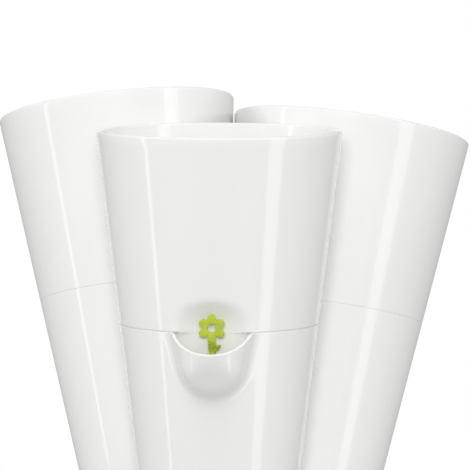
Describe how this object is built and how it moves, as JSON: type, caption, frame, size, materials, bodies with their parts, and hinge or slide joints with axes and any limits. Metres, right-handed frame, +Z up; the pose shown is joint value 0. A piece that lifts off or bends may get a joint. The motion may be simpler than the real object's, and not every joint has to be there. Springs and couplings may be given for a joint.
{
  "type": "self-watering herb planter",
  "caption": "Cluster of leaning glossy white conical herb pots on a low stand, each with a water reservoir, a fill scoop, felt wicks and a lime flower-shaped float gauge.",
  "frame": {"origin": "middle of the base plate's underside, on the table", "axes": "+Z up, the front pot's scoop toward -Y, +X to the viewer's right in the picture"},
  "size_m": [0.2584, 0.2412, 0.2561],
  "materials": {
    "white_gloss": "gloss",
    "lime_gloss": "gloss",
    "felt": "felt",
    "foam": "matte",
    "clear_grey": "satin"
  },
  "bodies": {
    "stand": {"base_plate": "white_gloss", "front_socket": "white_gloss", "right_socket": "white_gloss", "left_socket": "white_gloss"},
    "front_tank": {"front_reservoir": "white_gloss", "front_float_cage": "clear_grey"},
    "front_planter": {"front_pot": "white_gloss", "front_wick_mat": "felt", "front_wick_a": "felt", "front_wick_b": "felt"},
    "front_level": {"front_gauge": "lime_gloss", "front_float": "foam"},
    "right_tank": {"right_reservoir": "white_gloss", "right_float_cage": "clear_grey"},
    "right_planter": {"right_pot": "white_gloss", "right_wick_mat": "felt", "right_wick_a": "felt", "right_wick_b": "felt"},
    "right_level": {"right_gauge": "lime_gloss", "right_float": "foam"},
    "left_tank": {"left_reservoir": "white_gloss", "left_float_cage": "clear_grey"},
    "left_planter": {"left_pot": "white_gloss", "left_wick_mat": "felt", "left_wick_a": "felt", "left_wick_b": "felt"},
    "left_level": {"left_gauge": "lime_gloss", "left_float": "foam"}
  },
  "joints": [
    {"name": "front_tank_lift", "type": "slide", "parent": "stand", "child": "front_tank", "axis": [0, -0.1407, 0.99], "range_m": [0, 0.03]},
    {"name": "front_pot_lift", "type": "slide", "parent": "front_tank", "child": "front_planter", "axis": [0, -0.1407, 0.99], "range_m": [0, 0.115]},
    {"name": "front_gauge_slide", "type": "slide", "parent": "front_tank", "child": "front_level", "axis": [0, -0.1407, 0.99], "range_m": [-0.0095, 0.001]},
    {"name": "right_tank_lift", "type": "slide", "parent": "stand", "child": "right_tank", "axis": [0.1219, 0.0704, 0.99], "range_m": [0, 0.03]},
    {"name": "right_pot_lift", "type": "slide", "parent": "right_tank", "child": "right_planter", "axis": [0.1219, 0.0704, 0.99], "range_m": [0, 0.115]},
    {"name": "right_gauge_slide", "type": "slide", "parent": "right_tank", "child": "right_level", "axis": [0.1219, 0.0704, 0.99], "range_m": [-0.0095, 0.001]},
    {"name": "left_tank_lift", "type": "slide", "parent": "stand", "child": "left_tank", "axis": [-0.1219, 0.0704, 0.99], "range_m": [0, 0.03]},
    {"name": "left_pot_lift", "type": "slide", "parent": "left_tank", "child": "left_planter", "axis": [-0.1219, 0.0704, 0.99], "range_m": [0, 0.115]},
    {"name": "left_gauge_slide", "type": "slide", "parent": "left_tank", "child": "left_level", "axis": [-0.1219, 0.0704, 0.99], "range_m": [-0.0095, 0.001]}
  ]
}
